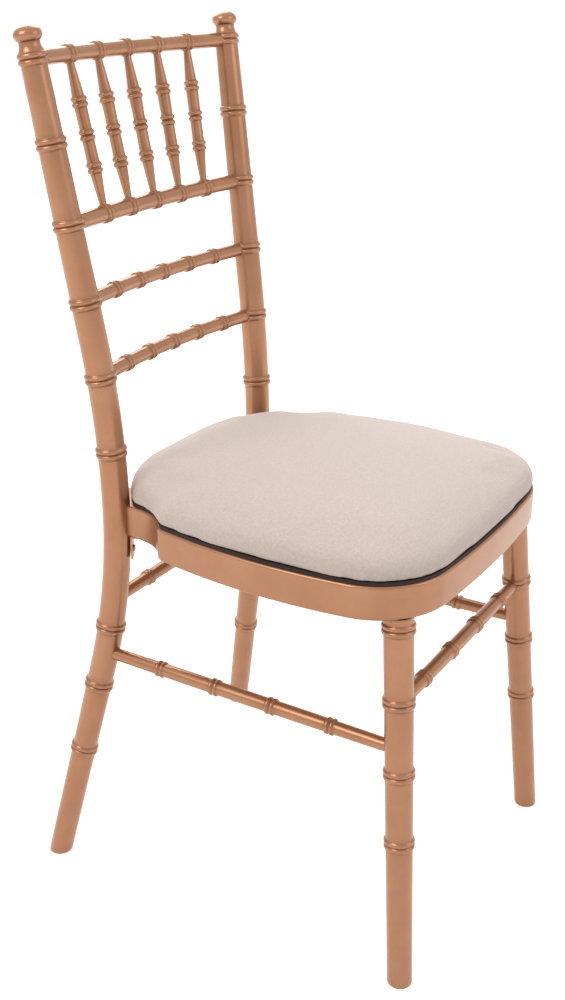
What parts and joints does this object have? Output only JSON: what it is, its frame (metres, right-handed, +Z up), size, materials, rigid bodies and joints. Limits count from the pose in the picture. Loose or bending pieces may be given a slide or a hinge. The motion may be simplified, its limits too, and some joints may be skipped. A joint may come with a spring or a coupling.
{
  "type": "chiavari_chair",
  "caption": "Metallic copper-painted chiavari chair with turned bamboo-style rings, spindle back and a lift-off upholstered seat pad",
  "frame": {"origin": "on the floor under the middle of the chair's bounding box", "axes": "+X to the sitter's left, +Y to the back of the chair, +Z up; the sitter faces -Y"},
  "size_m": [0.4088, 0.4616, 0.9107],
  "materials": {
    "frame_paint": "turned hardwood under satin metallic copper-rose paint",
    "bracket_paint": "pressed steel and its screws, sprayed with the frame",
    "zinc_steel": "zinc-plated screws",
    "plywood": "unfinished plywood",
    "dowel_wood": "plain beech",
    "strip_fabric": "black hook-and-loop tape",
    "board_black": "hardboard with a black edge",
    "pad_fabric": "ivory suede-like woven cover"
  },
  "bodies": {
    "frame": {"rear_post_left": "frame_paint", "rear_post_right": "frame_paint", "front_leg_left": "frame_paint", "front_leg_right": "frame_paint", "crest_rail": "frame_paint", "spindle_rail": "frame_paint", "ladder_rail_upper": "frame_paint", "ladder_rail_lower": "frame_paint", "spindle_1": "frame_paint", "spindle_2": "frame_paint", "spindle_3": "frame_paint", "spindle_4": "frame_paint", "spindle_5": "frame_paint", "front_stretcher": "frame_paint", "side_stretcher_left": "frame_paint", "side_stretcher_right": "frame_paint", "rear_stretcher": "frame_paint", "seat_hoop": "frame_paint", "seat_rear_rail": "frame_paint", "seat_panel": "plywood", "panel_screws": "zinc_steel", "seat_dowels": "dowel_wood", "bracket_left": "bracket_paint", "bracket_right": "bracket_paint", "bracket_screws": "bracket_paint", "hook_strips": "strip_fabric"},
    "pad": {"loop_strips": "strip_fabric", "pad_board": "board_black", "seat_cushion": "pad_fabric"}
  },
  "joints": [
    {"name": "pad_lift", "type": "slide", "parent": "frame", "child": "pad", "axis": [0, 0, 1], "range_m": [0, 0.08]}
  ]
}
